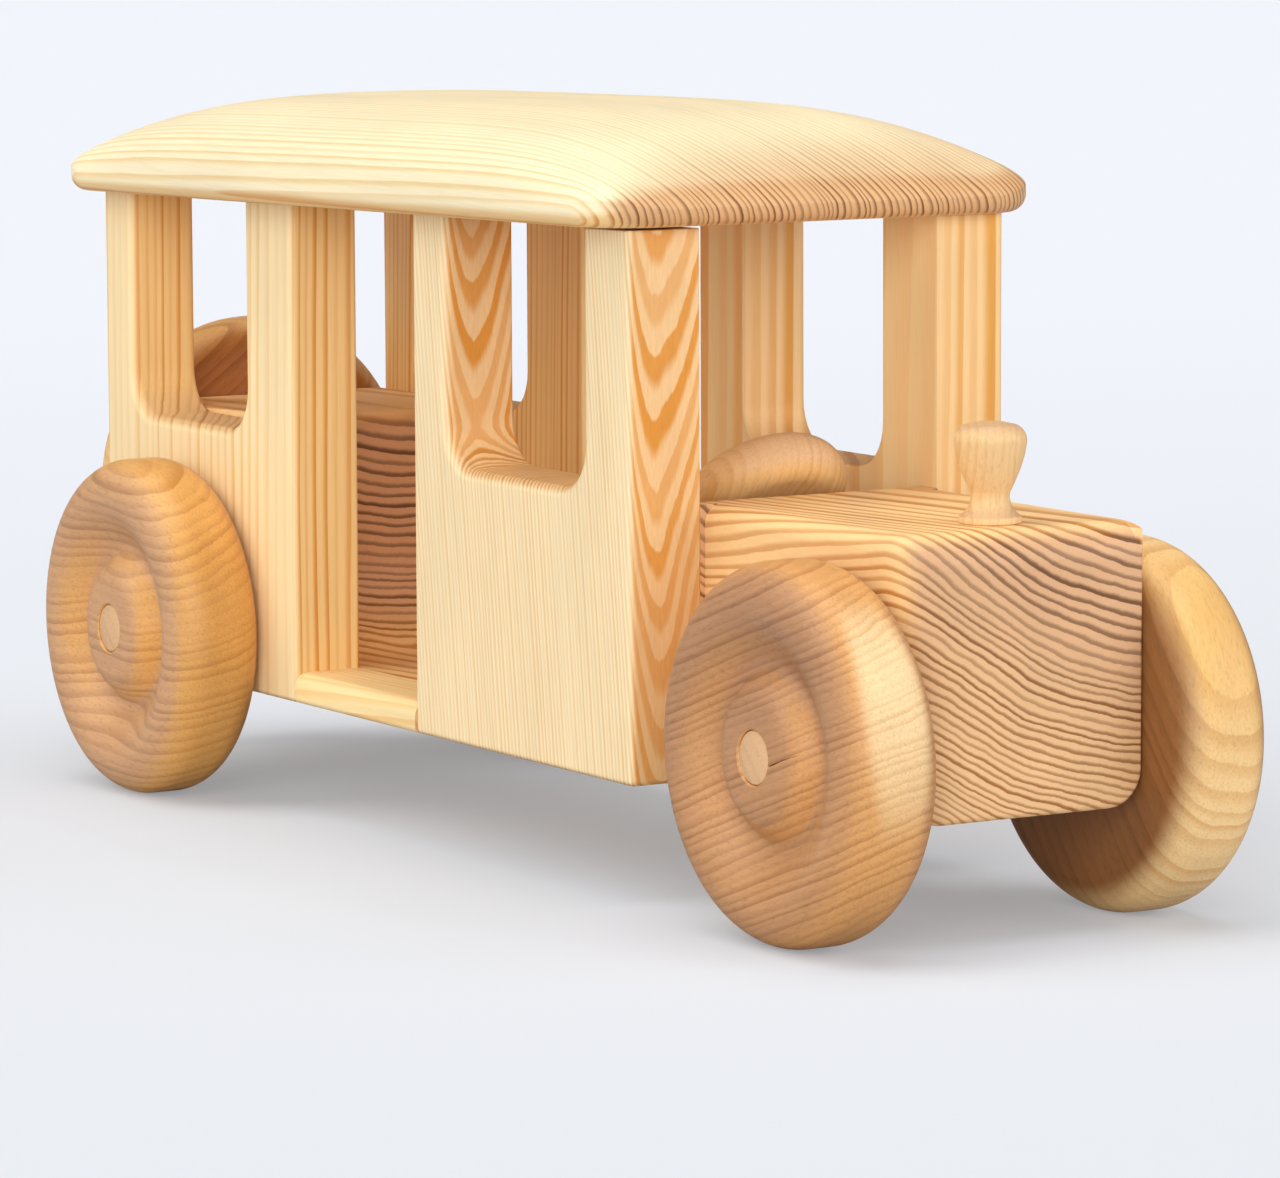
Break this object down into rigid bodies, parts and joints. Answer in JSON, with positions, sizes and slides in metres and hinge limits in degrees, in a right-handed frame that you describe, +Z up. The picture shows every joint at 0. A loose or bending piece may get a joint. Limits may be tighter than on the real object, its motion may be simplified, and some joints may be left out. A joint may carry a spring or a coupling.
{
  "type": "toy bus",
  "caption": "Wooden toy bus with a bonnet, open windows and doorways, a crowned roof, turned wheels on dowel axles, a spare wheel and a steering wheel.",
  "frame": {"origin": "on the floor under the middle of the bus's length and width", "axes": "+X forwards to the bonnet, +Y to the bus's left, +Z up"},
  "size_m": [0.324, 0.1248, 0.1481],
  "materials": {
    "block": "oiled pine, satin",
    "panels": "oiled pine, satin",
    "roof": "oiled pine, satin",
    "wheels": "oiled alder, satin",
    "dowels": "plain beech dowel, satin",
    "fittings": "oiled beech, satin"
  },
  "bodies": {
    "body": {"chassis_block": "block", "front_right_panel": "panels", "front_left_panel": "panels", "rear_right_panel": "panels", "rear_left_panel": "panels", "right_door_sill": "block", "left_door_sill": "block", "roof": "roof", "roof_dowels": "dowels", "spare_wheel": "wheels", "spare_wheel_peg": "dowels", "radiator_cap": "fittings"},
    "front_wheelset": {"front_axle": "dowels", "front_right_wheel": "wheels", "front_left_wheel": "wheels"},
    "rear_wheelset": {"rear_axle": "dowels", "rear_right_wheel": "wheels", "rear_left_wheel": "wheels"},
    "steering": {"steering_wheel": "fittings", "steering_column": "dowels"}
  },
  "joints": [
    {"name": "front_roll", "type": "hinge", "parent": "body", "child": "front_wheelset", "pos_m": [0.127, 0, 0.035], "axis": [0, 1, 0], "continuous": true},
    {"name": "rear_roll", "type": "hinge", "parent": "body", "child": "rear_wheelset", "pos_m": [-0.099, 0, 0.035], "axis": [0, 1, 0], "continuous": true},
    {"name": "steer", "type": "hinge", "parent": "body", "child": "steering", "pos_m": [0.0585, 0, 0.073], "axis": [-0.6691, 0, 0.7431], "continuous": true}
  ]
}
